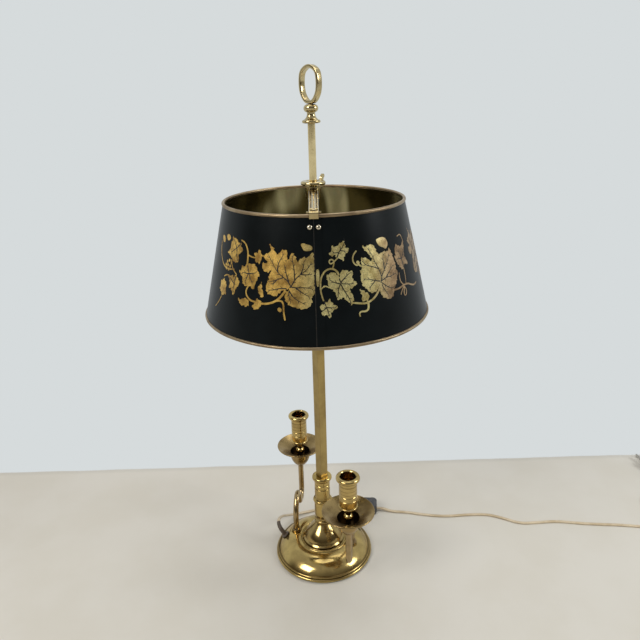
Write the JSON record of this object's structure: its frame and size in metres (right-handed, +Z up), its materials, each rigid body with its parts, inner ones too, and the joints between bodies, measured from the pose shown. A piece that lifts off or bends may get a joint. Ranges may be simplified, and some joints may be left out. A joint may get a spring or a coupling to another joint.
{
  "type": "bouillotte lamp",
  "caption": "Brass table lamp with a domed round base, two swivelling candle arms with drip bells, and a painted tin shade that slides on a rod.",
  "frame": {"origin": "middle of the base's underside, on the table", "axes": "+Z up the rod, -Y to the front where the shade's seam is, +X to the right of someone in front"},
  "size_m": [0.83, 0.3753, 0.722],
  "materials": {
    "brass": "old polished brass with brown tarnish in the hollows",
    "shade_paint": "black paint outside with a gilt vine band, gold lacquer inside",
    "rim_brass": "dull brown brass wire",
    "steel": "zinc plated steel",
    "iron": "cast iron, black",
    "felt": "green felt",
    "holder": "ivory phenolic",
    "bulb_glass": "frosted glass",
    "screw_shell": "thin aluminium screw shell",
    "black_plastic": "black moulded plastic",
    "cord": "tan gold vinyl flat twin lead",
    "grommet": "black rubber bush"
  },
  "bodies": {
    "lamp_stand": {"base_felt": "felt", "base_shell": "brass", "base_weight": "iron", "carrying_ring": "brass", "centre_pipe": "steel", "column": "brass", "column_foot": "brass", "cord_coil": "cord", "cord_grommet": "grommet", "cord_lead_far": "cord", "cord_lead_near": "cord", "cord_tail": "cord", "knop": "brass", "left_bulb": "bulb_glass", "left_bulb_base": "screw_shell", "left_lamp_holder": "holder", "light_cluster": "brass", "pipe_nut": "steel", "pipe_washer": "steel", "plug_blades": "brass", "plug_body": "black_plastic", "post": "brass", "post_cap": "brass", "right_bulb": "bulb_glass", "right_bulb_base": "screw_shell", "right_lamp_holder": "holder", "switch_axle": "steel", "switch_lower_shell": "black_plastic", "switch_upper_shell": "black_plastic", "upper_rod": "brass"},
    "shade_carrier": {"shade_bridge": "brass", "shade_panel": "shade_paint", "shade_top_rim": "rim_brass", "shade_bottom_rim": "rim_brass", "shade_rivets": "brass"},
    "thumbscrew": {"thumbscrew": "brass"},
    "left_arm": {"left_candle_arm": "brass", "left_arm_foot": "brass", "left_arm_nut": "steel", "left_drip_bell": "brass", "left_candle_socket": "brass"},
    "right_arm": {"right_candle_arm": "brass", "right_arm_foot": "brass", "right_arm_nut": "steel", "right_drip_bell": "brass", "right_candle_socket": "brass"},
    "switch_wheel": {"switch_wheel": "black_plastic"}
  },
  "joints": [
    {"name": "shade_height", "type": "slide", "parent": "lamp_stand", "child": "shade_carrier", "axis": [0, 0, 1], "range_m": [-0.06, 0.068]},
    {"name": "thumbscrew_turn", "type": "hinge", "parent": "shade_carrier", "child": "thumbscrew", "pos_m": [0, 0, 0.5828], "axis": [0.5, 0.866, 0], "range_deg": [0, 540]},
    {"name": "right_arm_swivel", "type": "hinge", "parent": "lamp_stand", "child": "right_arm", "pos_m": [0.04412, -0.01649, 0.03], "axis": [0, 0, 1], "range_deg": [-13, 166]},
    {"name": "left_arm_swivel", "type": "hinge", "parent": "lamp_stand", "child": "left_arm", "pos_m": [-0.04412, 0.01649, 0.03], "axis": [0, 0, 1], "range_deg": [-13, 166]},
    {"name": "switch_wheel_turn", "type": "hinge", "parent": "lamp_stand", "child": "switch_wheel", "pos_m": [0.06757, 0.09798, 0.009], "axis": [0, 0, 1], "continuous": true}
  ]
}
